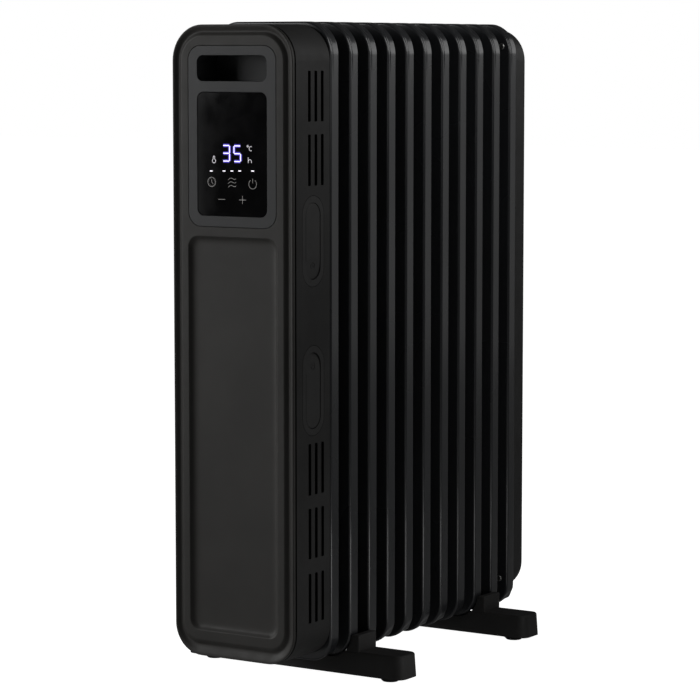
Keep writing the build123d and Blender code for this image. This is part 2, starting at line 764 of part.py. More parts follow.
for name, foot_y in (("front", front_foot), ("rear", rear_foot)):
    nearest_gap = round((foot_y - first_fin - (fin_pitch + flange_depth) / 2) / fin_pitch)
    saddle_y = first_fin + nearest_gap * fin_pitch + (fin_pitch + flange_depth) / 2
    with BuildPart() as foot:
        with BuildSketch(Plane.XY.offset(foot_pad_height)):
            with Locations((0, foot_y)):
                RectangleRounded(2 * foot_reach, foot_width, 10.0)
        extrude(amount=foot_top - foot_pad_height, taper=4)
        fillet(foot.faces().sort_by(Axis.Z)[-1].edges(), 2.0)
        with BuildSketch(Plane.XY.offset(foot_pad_height + foot_wall)):
            with Locations((0, foot_y)):
                RectangleRounded(2 * cheek_out, foot_width - 3.6, 1.5)
        extrude(amount=cheek_height - foot_pad_height - foot_wall)
        # cradle that follows the low corners of the fins
        with BuildSketch(front_plane(foot_y + foot_width)):
            add(shield(cheek_in, pocket_top, cheek_height + 40.0, 24 + cheek_in - half_width, 5))
        extrude(amount=2 * foot_width, mode=Mode.SUBTRACT)
        fillet(foot.faces().filter_by(Axis.Z).group_by(Axis.Z)[-1].edges(), 1.4)
        with BuildSketch(Plane.XY.offset(foot_pad_height)):
            with Locations((0, foot_y)):
                RectangleRounded(2 * (foot_reach - foot_wall) - 2, foot_width - 2 * foot_wall - 2, 6.0)
        extrude(amount=pocket_top - foot_pad_height - foot_wall, mode=Mode.SUBTRACT)
        with BuildSketch(Plane.XY.offset(foot_pad_height)):
            with Locations((0, foot_y)):
                with GridLocations(rib_pitch, 1, rib_count, 1):
                    Rectangle(2.0, foot_width - foot_wall)
        extrude(amount=pocket_top - foot_pad_height)
        with BuildSketch(Plane.XY.offset(pocket_top - foot_wall)):
            with Locations((0, saddle_y)):
                Rectangle(2 * saddle_half, saddle_width)
        extrude(amount=saddle_top - pocket_top + foot_wall)
        with BuildSketch(Plane.XY.offset(foot_pad_height)):
            with Locations((-pad_offset, foot_y), (pad_offset, foot_y)):
                Circle(9.0)
        extrude(amount=pocket_top - foot_pad_height)
        with BuildSketch(Plane.XY.offset(foot_pad_height)):
            with Locations((-pad_offset, foot_y), (pad_offset, foot_y)):
                Circle(3.0)
        extrude(amount=7.0, mode=Mode.SUBTRACT)
        with BuildSketch(Plane.XY.offset(foot_pad_height)):
            with Locations((-bolt_x, saddle_y), (bolt_x, saddle_y)):
                Circle(bolt_radius + 0.4)
        extrude(amount=60.0, mode=Mode.SUBTRACT)
    save(foot.part, f"foot_{name}")

saddles = [first_fin + gap * fin_pitch + (fin_pitch + flange_depth) / 2 for gap in (1, 8)]
nut_top = pocket_top - foot_wall
with BuildPart() as foot_u_bolts:
    for y in saddles:
        with BuildLine() as bolt_line:
            Line((-bolt_x, y, nut_top - 9.0), (-bolt_x, y, low_header))
            ThreePointArc((-bolt_x, y, low_header), (0, y, low_header + bolt_x), (bolt_x, y, low_header))
            Line((bolt_x, y, low_header), (bolt_x, y, nut_top - 9.0))
        with BuildSketch(Plane.XY.offset(nut_top - 9.0)):
            with Locations((-bolt_x, y)):
                Circle(bolt_radius)
        sweep(path=bolt_line.wire())
save(foot_u_bolts.part, "foot_u_bolts")

with BuildPart() as wing_nuts:
    for y in saddles:
        with BuildSketch(Plane.XY.offset(nut_top - 5.0)):
            with Locations((-bolt_x, y), (bolt_x, y)):
                Circle(4.6)
                Rectangle(20.0, 2.6)
                Circle(bolt_radius + 0.05, mode=Mode.SUBTRACT)
        extrude(amount=5.0)
save(wing_nuts.part, "wing_nuts")

with BuildPart() as foot_pads:
    with BuildSketch(Plane.XY):
        with Locations(*[(side * pad_offset, y) for side in (-1, 1) for y in (front_foot, rear_foot)]):
            Circle(11.0)
    extrude(amount=foot_pad_height)
    chamfer(foot_pads.faces().group_by(Axis.Z)[0].edges(), 3.4)
    with BuildSketch(Plane.XY.offset(foot_pad_height)):
        with Locations(*[(side * pad_offset, y) for side in (-1, 1) for y in (front_foot, rear_foot)]):
            Circle(2.8)
    extrude(amount=6.5)
save(foot_pads.part, "foot_pads")
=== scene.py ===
import bpy
import bmesh
import math
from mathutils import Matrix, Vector


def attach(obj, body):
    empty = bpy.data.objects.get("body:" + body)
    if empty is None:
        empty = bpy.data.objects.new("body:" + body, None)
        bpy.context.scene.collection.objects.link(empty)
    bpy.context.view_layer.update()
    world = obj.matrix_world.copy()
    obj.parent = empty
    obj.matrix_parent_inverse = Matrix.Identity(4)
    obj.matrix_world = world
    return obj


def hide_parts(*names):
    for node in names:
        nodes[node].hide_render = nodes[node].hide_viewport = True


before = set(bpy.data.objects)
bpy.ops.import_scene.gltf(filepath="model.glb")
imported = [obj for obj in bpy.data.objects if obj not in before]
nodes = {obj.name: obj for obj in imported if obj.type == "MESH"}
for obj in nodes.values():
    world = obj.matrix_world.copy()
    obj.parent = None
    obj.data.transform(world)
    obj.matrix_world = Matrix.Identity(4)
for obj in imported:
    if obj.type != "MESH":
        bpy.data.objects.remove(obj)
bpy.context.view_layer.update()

scene = bpy.context.scene
scene.view_settings.view_transform = "Standard"
mm = 0.001

cameraFacts = {"place": (1.5771, -2.46495, 0.60576), "azimuth": 32.80, "pitch": 5.825, "lens": 150.0,
               "sensor": 36.0, "farthest": 60.0}


def makeCamera(facts):
    cameraData = bpy.data.cameras.new("mainCamera")
    cameraData.lens = facts["lens"]
    cameraData.sensor_width = facts["sensor"]
    cameraData.clip_end = facts["farthest"]
    camera = bpy.data.objects.new("mainCamera", cameraData)
    azimuth, pitch = math.radians(facts["azimuth"]), math.radians(facts["pitch"])
    back = Vector((math.sin(azimuth) * math.cos(pitch), -math.cos(azimuth) * math.cos(pitch), math.sin(pitch)))
    camera.rotation_euler = back.to_track_quat("Z", "Y").to_euler()
    camera.location = facts["place"]
    scene.collection.objects.link(camera)
    scene.camera = camera


makeCamera(cameraFacts)

# each light: place, target, width and height, power in watts
lightFacts = {
    "keyLeft": ((-2.75, -1.5, 1.25), (0, -0.15, 0.35), (1.3, 1.5), 24),
    "keyFront": ((-2.1, -2.1, 1.25), (0, -0.15, 0.35), (1.3, 1.5), 26),
    "keyLow": ((-2.6, -1.7, 0.35), (0, -0.15, 0.30), (1.2, 0.6), 6.5),
    "glassCard": ((-1.685, -2.144, 0.45), (0, -0.222, 0.50), (0.44, 0.7), 1.1),
    "edgeCard": ((0.42, -0.05, 0.80), (0.07, -0.12, 0.58), (0.28, 0.26), 0.75),
    "ridgeCard": ((0.45, 0.46, 0.74), (0.07, 0.0, 0.60), (0.6, 0.24), 0.5),
    "foldCard": ((0.40, -0.30, 0.60), (0.07, -0.12, 0.58), (0.14, 0.2), 0.07),
    "lowCard": ((0.40, -0.08, 0.05), (0.07, -0.16, 0.07), (0.25, 0.08), 0.16),
    "backWall": ((1.75, 2.45, 0.55), (0, 0, 0.33), (1.1, 1.3), 1.5),
}


def areaLight(name, place, target, size, power):
    lightData = bpy.data.lights.new(name, "AREA")
    lightData.shape = "RECTANGLE"
    lightData.size, lightData.size_y = size
    lightData.energy = power
    light = bpy.data.objects.new(name, lightData)
    light.location = place
    light.rotation_euler = (Vector(place) - Vector(target)).to_track_quat("Z", "Y").to_euler()
    light.visible_camera = False
    scene.collection.objects.link(light)


for lightName, (place, target, size, power) in lightFacts.items():
    areaLight(lightName, place, target, size, power)


def link(tree, source, target):
    tree.links.new(source, target)


# Math node; each value is a number or an output socket
def mathNode(tree, operation, *values):
    node = tree.nodes.new("ShaderNodeMath")
    node.operation = operation
    for socket, value in zip(node.inputs, values):
        if isinstance(value, float):
            socket.default_value = value
        else:
            link(tree, value, socket)
    return node.outputs["Value"]


def rangeNode(tree, value, fromEnds, toEnds, kind="LINEAR"):
    node = tree.nodes.new("ShaderNodeMapRange")
    node.interpolation_type = kind
    node.inputs["From Min"].default_value, node.inputs["From Max"].default_value = fromEnds
    node.inputs["To Min"].default_value, node.inputs["To Max"].default_value = toEnds
    link(tree, value, node.inputs["Value"])
    return node.outputs["Result"]


def noiseNode(tree, place, scale, detail):
    noise = tree.nodes.new("ShaderNodeTexNoise")
    noise.inputs["Scale"].default_value, noise.inputs["Detail"].default_value = scale, detail
    link(tree, place, noise.inputs["Vector"])
    return noise.outputs["Fac"]


# Colour that drifts to both sides of the given one
def driftNode(tree, value, colour, drift, ends=(0.0, 1.0), kind="LINEAR"):
    tones = tree.nodes.new("ShaderNodeValToRGB")
    tones.color_ramp.interpolation = kind
    for element, end, side in zip(tones.color_ramp.elements, ends, (-1, 1)):
        element.position = end
        element.color = tuple(min(1.0, c * (1 + side * drift)) for c in colour) + (1,)
    link(tree, value, tones.inputs["Fac"])
    return tones.outputs["Color"]


# Nothing round the object but pale light: what the camera sees, and what falls on the object
studioFacts = {"seen": 1.0, "around": 0.045, "floorGlow": 1.0, "floorGrey": 0.78, "floorHalf": 14.0,
               "floorRough": 0.9, "floorSpecular": 0.1}


def makeStudio(facts):
    world = bpy.data.worlds.new("studio")
    scene.world = world
    world.use_nodes = True
    tree = world.node_tree
    background = tree.nodes["Background"]
    background.inputs["Color"].default_value = (1, 1, 1, 1)
    seen = tree.nodes.new("ShaderNodeLightPath").outputs["Is Camera Ray"]
    link(tree, rangeNode(tree, seen, (0, 1), (facts["around"], facts["seen"])), background.inputs["Strength"])
    paper = bpy.data.materials.new("paleFloor")
    paper.use_nodes = True
    tree = paper.node_tree
    shader = tree.nodes["Principled BSDF"]
    shader.inputs["Base Color"].default_value = (facts["floorGrey"],) * 3 + (1,)
    shader.inputs["Roughness"].default_value = facts["floorRough"]
    shader.inputs["Specular IOR Level"].default_value = facts["floorSpecular"]
    shader.inputs["Emission Color"].default_value = (1, 1, 1, 1)
    seen = tree.nodes.new("ShaderNodeLightPath").outputs["Is Camera Ray"]
    link(tree, rangeNode(tree, seen, (0, 1), (0, facts["floorGlow"])), shader.inputs["Emission Strength"])
    floorMesh = bpy.data.meshes.new("paleFloor")
    grid = bmesh.new()
    bmesh.ops.create_grid(grid, x_segments=1, y_segments=1, size=facts["floorHalf"])
    grid.to_mesh(floorMesh)
    grid.free()
    floorMesh.materials.append(paper)
    floor = bpy.data.objects.new("paleFloor", floorMesh)
    scene.collection.objects.link(floor)


makeStudio(studioFacts)
print("studio ready")

# Finishes: base colour, its drift, roughness range, grain (scale of its noise) and grain height in metres.
# Enamel also has a clear coat, its own mottle (scale and detail) and no waves.
finishFacts = {
    "frontShell": {"colour": (0.0300, 0.0288, 0.0268), "drift": 0.10, "rough": (0.46, 0.56), "specular": 0.20,
                   "grain": 2600, "height": 0.00003},
    "sideShell": {"colour": (0.0275, 0.0273, 0.0270), "drift": 0.10, "rough": (0.50, 0.60), "specular": 0.12,
                  "grain": 2600, "height": 0.00003},
    "rearShell": {"colour": (0.0285, 0.0283, 0.0280), "drift": 0.10, "rough": (0.42, 0.52), "specular": 0.22,
                  "grain": 2600, "height": 0.00003},
    "hookPlastic": {"colour": (0.0290, 0.0288, 0.0285), "drift": 0.08, "rough": (0.44, 0.54), "specular": 0.20,
                    "grain": 2300, "height": 0.00003},
    "fasciaPlastic": {"colour": (0.0290, 0.0298, 0.0312), "drift": 0.06, "rough": (0.40, 0.48),
                      "specular": 0.24, "grain": 3200, "height": 0.00002},
    "finEnamel": {"colour": (0.0185, 0.0194, 0.0212), "drift": 0.08, "rough": (0.26, 0.31), "specular": 0.42,
                  "grain": 420, "height": 0.000004, "coat": 0.35, "coatRough": 0.12, "mottle": (11.0, 0.0),
                  "wave": 0.0},
    "footPlastic": {"colour": (0.0270, 0.0262, 0.0258), "drift": 0.14, "rough": (0.50, 0.62), "specular": 0.20,
                    "grain": 2000, "height": 0.00005},
    "padRubber": {"colour": (0.0160, 0.0165, 0.0172), "drift": 0.18, "rough": (0.34, 0.50), "specular": 0.35,
                  "grain": 900, "height": 0.00006},
    "softRubber": {"colour": (0.0120, 0.0120, 0.0120), "drift": 0.18, "rough": (0.60, 0.75), "specular": 0.20,
                   "grain": 1200, "height": 0.00006},
    "blackGlass": {"colour": (0.0030, 0.0030, 0.0033), "drift": 0.25, "rough": (0.05, 0.09), "specular": 0.14,
                   "grain": 160, "height": 0.000004},
    "zincSteel": {"colour": (0.46, 0.46, 0.44), "drift": 0.16, "rough": (0.28, 0.46), "specular": 0.5,
                  "grain": 700, "height": 0.00004, "metal": 1.0},
    "boardGreen": {"colour": (0.018, 0.105, 0.045), "drift": 0.22, "rough": (0.30, 0.45), "specular": 0.5,
                   "grain": 1500, "height": 0.00004},
    "darkMoulding": {"colour": (0.022, 0.022, 0.024), "drift": 0.15, "rough": (0.45, 0.60), "specular": 0.3,
                     "grain": 1800, "height": 0.00004},
    "glazedCeramic": {"colour": (0.68, 0.65, 0.58), "drift": 0.08, "rough": (0.22, 0.38), "specular": 0.5,
                      "grain": 900, "height": 0.00005},
    "heatTintedSheath": {"colour": (0.34, 0.30, 0.25), "drift": 0.30, "rough": (0.32, 0.50), "specular": 0.5,
                         "grain": 600, "height": 0.00004, "metal": 1.0},
    "turnedBrass": {"colour": (0.62, 0.45, 0.19), "drift": 0.12, "rough": (0.20, 0.34), "specular": 0.5,
                    "grain": 1400, "height": 0.00003, "metal": 1.0},
}


# What the finishes share, where a finish doesn't say otherwise
commonFacts = {"metal": 0.0, "coat": 0.0, "coatRough": 0.03, "mottle": (60.0, 4.0), "wave": 2.0,
               "drifts": (14.0, 3.0), "grainDetail": 2.0, "noiseEnds": (0.3, 0.7), "bump": 0.6}


# Moulded, painted or turned surface: slow colour drift, mottled roughness, fine grain over soft waviness
def makeFinish(name, ownFacts, slotShade=None):
    facts = {**commonFacts, **ownFacts}
    material = bpy.data.materials.new(name)
    material.use_nodes = True
    tree = material.node_tree
    shader = tree.nodes["Principled BSDF"]
    shader.inputs["Specular IOR Level"].default_value = facts["specular"]
    shader.inputs["Metallic"].default_value = facts["metal"]
    shader.inputs["Coat Weight"].default_value = facts["coat"]
    shader.inputs["Coat Roughness"].default_value = facts["coatRough"]
    place = tree.nodes.new("ShaderNodeTexCoord").outputs["Object"]
    slow = noiseNode(tree, place, *facts["drifts"])
    fine = noiseNode(tree, place, facts["grain"], facts["grainDetail"])
    mottle = noiseNode(tree, place, *facts["mottle"])
    rough = rangeNode(tree, mottle, facts["noiseEnds"], facts["rough"], "SMOOTHSTEP")
    link(tree, rough, shader.inputs["Roughness"])

    # grain and long waves add up to one height
    bump = tree.nodes.new("ShaderNodeBump")
    bump.inputs["Strength"].default_value = facts["bump"]
    bump.inputs["Distance"].default_value = facts["height"]
    link(tree, mathNode(tree, "MULTIPLY_ADD", mottle, facts["wave"], fine), bump.inputs["Height"])
    link(tree, bump.outputs["Normal"], shader.inputs["Normal"])
    if facts["coat"]:
        link(tree, bump.outputs["Normal"], shader.inputs["Coat Normal"])

    colour = driftNode(tree, slow, facts["colour"], facts["drift"], facts["noiseEnds"], "EASE")
    # painted shade: faces inside the housing's slots and hollows take a near-black colour in place of their
    # shade
    if slotShade:
        colour = paintSlotShade(tree, place, colour, slotShade)
    link(tree, colour, shader.inputs["Base Color"])
    return material


# Painted shade: the control housing's faces further in than its skin, between two heights, in metres, are
# painted near black, standing in for the shade inside its vent slots and hollows
housingSlotShade = {"skin": 0.0684, "low": 0.062, "high": 0.596, "colour": (0.0012, 0.0012, 0.0013, 1)}


# Paints shade into the colour: where faces lie further in than the skin and between the heights, the
# near-black shade colour replaces it
def paintSlotShade(tree, place, colour, inside):
    split = tree.nodes.new("ShaderNodeSeparateXYZ")
    link(tree, place, split.inputs["Vector"])
    inner = mathNode(tree, "LESS_THAN", mathNode(tree, "ABSOLUTE", split.outputs["X"]), inside["skin"])
    above = mathNode(tree, "GREATER_THAN", split.outputs["Z"], inside["low"])
    below = mathNode(tree, "LESS_THAN", split.outputs["Z"], inside["high"])
    mask = mathNode(tree, "MULTIPLY", mathNode(tree, "MULTIPLY", above, below), inner)
    shade = tree.nodes.new("ShaderNodeMix")
    shade.data_type = "RGBA"
    link(tree, mask, shade.inputs["Factor"])
    link(tree, colour, shade.inputs["A"])
    shade.inputs["B"].default_value = inside["colour"]
    return shade.outputs["Result"]


# the side shell alone gets the painted slot shade
finishes = {}
for finishName, facts in finishFacts.items():
    finishes[finishName] = makeFinish(finishName, facts, housingSlotShade if finishName == "sideShell" else None)

# Lit and printed marks: colour and glow, and the surface that they share. The printed keys are no lamp: their
# faint glow is painted brightness
lampFacts = {
    "digitCore": {"colour": (0.80, 0.76, 1.0), "glow": 1.15},
    "digitHalo": {"colour": (0.12, 0.08, 0.80), "glow": 0.75},
    "digitHaze": {"colour": (0.06, 0.045, 0.34), "glow": 0.50},
    "dashLight": {"colour": (0.92, 0.88, 1.0), "glow": 0.9},
    "signLight": {"colour": (0.70, 0.68, 0.72), "glow": 0.6},
    # painted brightness: the printed ink glows faintly though nothing lights it
    "printedIcon": {"colour": (0.46, 0.45, 0.44), "glow": 0.18},
}
lampSurface = {"specular": 0.1, "speck": (500.0, 2.0), "drift": 0.08, "rough": (0.3, 0.5)}


def makeLamp(name, facts, surface):
    material = bpy.data.materials.new(name)
    material.use_nodes = True
    tree = material.node_tree
    shader = tree.nodes["Principled BSDF"]
    shader.inputs["Specular IOR Level"].default_value = surface["specular"]
    shader.inputs["Emission Strength"].default_value = facts["glow"]
    speck = noiseNode(tree, tree.nodes.new("ShaderNodeTexCoord").outputs["Object"], *surface["speck"])
    tones = driftNode(tree, speck, facts["colour"], surface["drift"])
    link(tree, tones, shader.inputs["Base Color"])
    link(tree, tones, shader.inputs["Emission Color"])
    link(tree, rangeNode(tree, speck, (0, 1), surface["rough"]), shader.inputs["Roughness"])
    return material


for lampName, facts in lampFacts.items():
    finishes[lampName] = makeLamp(lampName, facts, lampSurface)

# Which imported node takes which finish
nodeFinish = {
    "sideShell": ["control_housing"],
    "rearShell": ["end_cover"],
    "hookPlastic": ["hook_seat_upper", "hook_seat_lower", "hook_upper", "hook_lower"],
    "fasciaPlastic": ["fascia_bezel", "handle_cup"],
    "blackGlass": ["display_glass"],
    "finEnamel": ["upper_collars", "lower_collars", "header_plugs"],
    "footPlastic": ["foot_front", "foot_rear"],
    "padRubber": ["foot_pads"],
    "softRubber": ["glass_gasket", "cord_gland"],
    "zincSteel": ["heat_shield", "case_screws", "cover_brackets", "cover_screws", "cover_rivets", "hook_pins",
                  "tip_pin", "earth_stud", "foot_u_bolts", "wing_nuts", "board_standoffs", "touch_springs",
                  "heater_hub", "filler_plug"],
    "boardGreen": ["display_board", "power_board"],
    "darkMoulding": ["digit_module", "power_relays", "supply_module", "display_carrier", "tip_switch_frame",
                     "air_sensor"],
    "glazedCeramic": ["terminal_block", "element_terminals", "thermal_cutout"],
    "heatTintedSheath": ["heating_element"],
    "turnedBrass": ["tip_pendulum"],
}
for finishName, names in nodeFinish.items():
    for name in names:
        nodes[name].data.materials.clear()
        nodes[name].data.materials.append(finishes[finishName])
print("finishes ready")


# Rounded upright outline as (x, z) points, anticlockwise seen from the front
def shieldPoints(half, low, high, lowRadius, highRadius, steps=14):
    points = []
    corners = ((half - highRadius, high - highRadius, highRadius, 0),
               (highRadius - half, high - highRadius, highRadius, 90),
               (lowRadius - half, low + lowRadius, lowRadius, 180),
               (half - lowRadius, low + lowRadius, lowRadius, 270))
    for x, z, radius, start in corners:
        for i in range(steps + 1):
            angle = math.radians(start + 90 * i / steps)
            points.append((x + radius * math.cos(angle), z + radius * math.sin(angle)))
    return points


# The outline drawn in by an amount: half width, low, high, and the radius of its low and high corners
def inset(outline, amount, leastRadius=0.4):
    half, low, high, lowRadius, highRadius = outline
    radii = [max(radius - amount, leastRadius) for radius in (lowRadius, highRadius)]
    return (half - amount, low + amount, high - amount, *radii)


def between(first, second, share):
    return tuple(a + (b - a) * share for a, b in zip(first, second))


def addLoop(bm, points, y):
    return [bm.verts.new((x * mm, y * mm, z * mm)) for x, z in points]


def bridgeLoops(bm, first, second):
    count = len(first)
    for i in range(count):
        j = (i + 1) % count
        bm.faces.new((first[i], first[j], second[j], second[i]))


def loftLoops(bm, rings):
    for first, second in zip(rings, rings[1:]):
        bridgeLoops(bm, first, second)


def fillBetween(bm, rings):
    edges = []
    for ring in rings:
        for a, b in zip(ring, ring[1:] + ring[:1]):
            edges.append(bm.edges.get((a, b)) or bm.edges.new((a, b)))
    bmesh.ops.triangle_fill(bm, use_beauty=True, use_dissolve=False, edges=edges)


# Closed shell out of a bmesh: doubles merged, faces outward, smooth except at real edges
def finishPiece(name, bm, materials, sharpAngle=38.0, merge=0.000004):
    bmesh.ops.remove_doubles(bm, verts=bm.verts, dist=merge)
    bmesh.ops.recalc_face_normals(bm, faces=bm.faces)
    mesh = bpy.data.meshes.new(name)
    bm.to_mesh(mesh)
    bm.free()
    for material in materials:
        mesh.materials.append(material)
    mesh.polygons.foreach_set("use_smooth", [True] * len(mesh.polygons))
    mesh.set_sharp_from_angle(angle=math.radians(sharpAngle))
    piece = bpy.data.objects.new(name, mesh)
    scene.collection.objects.link(piece)
    return piece


# A live modifier's result as a plain mesh, with the modifier gone
def applyModifiers(piece):
    graph = bpy.context.evaluated_depsgraph_get()
    shaped = piece.evaluated_get(graph)
    mesh = bpy.data.meshes.new_from_object(shaped, preserve_all_data_layers=True, depsgraph=graph)
    mesh.name = piece.name
    piece.modifiers.clear()
    piece.data = mesh


def keepFlatsFlat(piece):
    weighted = piece.modifiers.new("flatFaces", "WEIGHTED_NORMAL")
    weighted.keep_sharp = True
    applyModifiers(piece)


# Front moulding of the control box, all in millimetres; outlines are given as inset() takes them
frontFacts = {
    "box": (68.7, 29.0, 632.0, 30.0, 34.0), "back": -216.5, "gapWide": 2.0, "gapDeep": 1.3, "gapLip": 0.25,
    "crown": -222.1, "crownRadius": 0.9, "groove": (62.8, 38.8, 625.8, 21.6, 27.6),
    "frame": (57.6, 45.2, 620.8, 16.6, 23.4), "face": -222.25,
    # share of the way and height: ring crown down to the groove, then up to the raised frame
    "ringFall": ((0.12, -222.05), (0.25, -221.85), (0.40, -221.40), (0.55, -220.80), (0.70, -220.20),
                 (0.85, -219.75), (1.0, -219.50)),
    "frameRise": ((0.12, -219.45), (0.24, -219.65), (0.36, -220.10), (0.50, -220.75), (0.64, -221.40),
                  (0.78, -221.88), (0.90, -222.16), (1.0, -222.25)),
    "dish": (51.4, 53.4, 433.3, 11.0, 11.0), "dishFloor": (38.4, 66.4, 420.3, 5.0, 5.0), "dishWide": 13.0,
    # distance in from the dish's edge and depth: eased edge, even slope, long blend into the floor
    "dishFall": ((0.0, 0.0), (0.35, 0.08), (0.8, 0.36), (1.5, 0.95), (2.4, 1.75), (3.2, 2.35), (4.0, 2.76),
                 (5.2, 3.08), (6.8, 3.27), (8.8, 3.37), (10.8, 3.4), (13.0, 3.4)),
    "seat": (50.4, 441.8, 612.4, 14.0, 14.0), "seatFloor": -219.65, "seatEdge": 0.35, "seatSteps": 3,
    "opening": (46.2, 446.2, 608.2, 10.0, 10.0),
}


# Quarter round from a wall to the front: outward for a convex outer edge, inward for one round a hole
def arcLoops(bm, outline, radius, crown, outward, steps=7):
    rings = []
    for i in range(steps + 1):
        angle = math.pi / 2 * i / steps
        amount = radius * (1 - math.cos(angle)) * (1 if outward else -1)
        y = crown + radius * (1 - math.sin(angle))
        rings.append(addLoop(bm, shieldPoints(*inset(outline, amount)), y))
    return rings


def makeFrontShell(facts):
    bm = bmesh.new()
    # back edge, parting gap, crown, then the ring's fall and the frame's rise
    gapFront = facts["back"] - facts["gapWide"]
    gapStations = ((facts["gapDeep"], facts["back"]), (facts["gapDeep"], gapFront),
                   (facts["gapLip"], gapFront))
    rings = [addLoop(bm, shieldPoints(*inset(facts["box"], amount)), y) for amount, y in gapStations]
    backRing = rings[0]
    rings += arcLoops(bm, facts["box"], facts["crownRadius"], facts["crown"], True)
    crownEdge = inset(facts["box"], facts["crownRadius"])
    for start, end, stations in ((crownEdge, facts["groove"], facts["ringFall"]),
                                 (facts["groove"], facts["frame"], facts["frameRise"])):
        for share, y in stations:
            rings.append(addLoop(bm, shieldPoints(*between(start, end, share)), y))
    loftLoops(bm, rings)
    # dished lower field
    dishRings = []
    for inward, depth in facts["dishFall"]:
        outline = between(facts["dish"], facts["dishFloor"], inward / facts["dishWide"])
        dishRings.append(addLoop(bm, shieldPoints(*outline), facts["face"] + depth))
    loftLoops(bm, dishRings)
    fillBetween(bm, [dishRings[-1]])
    # seat of the bezel and the opening behind it
    seatRings = arcLoops(bm, facts["seat"], facts["seatEdge"], facts["face"], False, facts["seatSteps"])[::-1]
    for outline, y in ((facts["seat"], facts["seatFloor"]), (facts["opening"], facts["seatFloor"]),
                       (facts["opening"], facts["back"])):
        seatRings.append(addLoop(bm, shieldPoints(*outline), y))
    loftLoops(bm, seatRings)
    fillBetween(bm, [rings[-1], dishRings[0], seatRings[0]])
    fillBetween(bm, [backRing, seatRings[-1]])
    piece = finishPiece("frontShell", bm, [finishes["frontShell"]])
    keepFlatsFlat(piece)
    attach(piece, "radiator")
    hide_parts("front_panel")


makeFrontShell(frontFacts)
print("front shell ready")

# One pressed fin in millimetres, with its front plate at y = 0. Places round a corner are in degrees from the
# side.
finFacts = {
    "outline": (68.7, 22.0, 635.0, 24.0, 31.0), "sheet": 1.2, "fold": 2.2, "depth": 13.6, "lowDepth": 5.0,
    "flangeEnd": (54.0, 58.0), "plateEdge": 5.0, "rimIn": (0.62, 0.12), "rimBack": 0.1,
    # distances from a corner along a straight, and heights of the rings on the skin and inside the flange
    "nearCorner": (1.5, 4.0, 9.0, 16.0, 26.0),
    "skinRings": (13.0, 11.6, 10.2, 9.3, 8.6, 7.9, 7.0, 5.8, 4.9, 4.5, 4.3, 4.1, 3.9, 3.7, 3.3, 2.7),
    "insideRings": (11.6, 8.6, 5.8, 3.4), "foldSteps": 7, "insideSteps": 3,
    # how far the skin is pushed in, and where each mark fades in and out
    "ripple": {"push": 0.32, "round": 11.0, "back": 14.0, "fadeIn": (6, 20), "fadeOut": (64, 54),
               "behind": (0.0, 4.0)},
    "curl": {"push": 1.5, "fadeIn": (38, 54), "fadeOut": (62, 58), "behind": (3.0, 12.0)},
    "dimple": {"push": 1.15, "middle": (45, 8.6), "wide": (4.5, 2.4)},
    "wobble": {"push": 0.10, "round": 8.0, "fadeIn": (0, 10), "fadeOut": (90, 80)},
    "seam": {"push": 0.55, "middle": 4.1, "wide": 0.42, "fadeIn": (-22, -2)},
    "headers": (72.0, 580.0), "headerHalf": 56.0, "headerRadius": 25.0, "uprights": (-36.0, 0.0, 36.0),
    "uprightHalf": 10.0, "bulgeFront": 5.0, "bulgeRear": 7.0, "meetRun": 4.0, "windowRound": 0.9,
    # channel wall: distance in and share of the height, with eased root, sloping wall and eased crown
    "channelWall": ((0.0, 0.0), (0.5, 0.05), (1.0, 0.25), (2.2, 0.72), (2.9, 0.93), (3.8, 1.0)),
}


# Path round the fin: position, outward direction, which part it is on and how far round the corner it is. On a
# straight, that last value is minus the distance in millimetres to the nearer corner.
def finPath(facts, steps=26):
    half, low, high, lowRadius, highRadius = facts["outline"]
    near = facts["nearCorner"]
    path = []

    def corner(x, z, radius, start, kind, flip):
        for i in range(steps + 1):
            angle = math.radians(start + 90 * i / steps)
            turned = 90 - 90 * i / steps if flip else 90 * i / steps
            nx, nz = math.cos(angle), math.sin(angle)
            path.append((x + radius * nx, z + radius * nz, nx, nz, kind, turned))

    def straight(start, end, normal, kinds):
        length = math.hypot(end[0] - start[0], end[1] - start[1])
        stations = [(d, kinds[0]) for d in near] + [(length / 2, "side")]
        stations += [(length - d, kinds[1]) for d in near[::-1]]
        for d, kind in stations:
            x = start[0] + (end[0] - start[0]) * d / length
            z = start[1] + (end[1] - start[1]) * d / length
            path.append((x, z, normal[0], normal[1], kind, -min(d, length - d)))

    corner(half - highRadius, high - highRadius, highRadius, 0, "top", False)
    straight((half - highRadius, high), (highRadius - half, high), (0, 1), ("crest", "crest"))
    corner(highRadius - half, high - highRadius, highRadius, 90, "top", True)
    straight((-half, high - highRadius), (-half, low + lowRadius), (-1, 0), ("top", "low"))
    corner(lowRadius - half, low + lowRadius, lowRadius, 180, "low", False)
    straight((lowRadius - half, low), (half - lowRadius, low), (0, -1), ("bottom", "bottom"))
    corner(half - lowRadius, low + lowRadius, lowRadius, 270, "low", True)
    straight((half, low + lowRadius), (half, high - highRadius), (1, 0), ("low", "top"))
    return path


# Smooth step from 0 at the first end to 1 at the second, which may be the lower one
def fade(value, ends):
    share = min(max((value - ends[0]) / (ends[1] - ends[0]), 0.0), 1.0)
    return share * share * (3 - 2 * share)


def bell(value, middle, wide):
    return ((value - middle) / wide) ** 2


# How deep the flange is at a station
def flangeDepth(facts, kind, turned):
    if kind == "bottom":
        return facts["lowDepth"]
    if kind == "low":
        return facts["depth"] + (facts["lowDepth"] - facts["depth"]) * fade(turned, facts["flangeEnd"])
    return facts["depth"]


